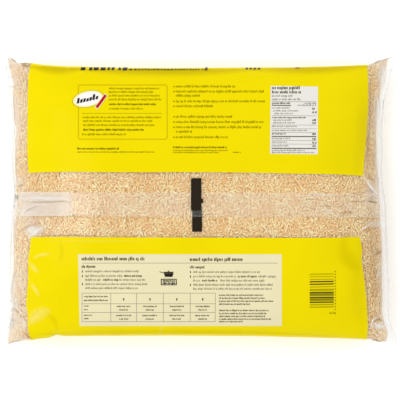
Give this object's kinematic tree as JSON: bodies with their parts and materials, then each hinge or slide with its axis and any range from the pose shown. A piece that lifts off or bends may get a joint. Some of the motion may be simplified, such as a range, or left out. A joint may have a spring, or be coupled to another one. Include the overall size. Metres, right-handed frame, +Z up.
{
  "type": "sealed clear bag of rice",
  "caption": "Sealed clear pillow bag full of long grain rice, lying on its front with the back seam and yellow printed panels up.",
  "frame": {"origin": "middle of the overall box, on the surface that the bag lies on", "axes": "+X along the bag from the left sealed end to the right one, +Y across it, +Z up, through the side with the back seam"},
  "size_m": [0.4704, 0.3452, 0.0957],
  "materials": {
    "printed_film": "glossy yellow print on thin film",
    "clear_film": "glossy clear film",
    "rice": "hard, slightly waxy parboiled grains",
    "black_print": "glossy black print",
    "pale_print": "glossy pale print"
  },
  "bodies": {
    "root": {"rice_bag": "printed_film"}
  },
  "joints": []
}
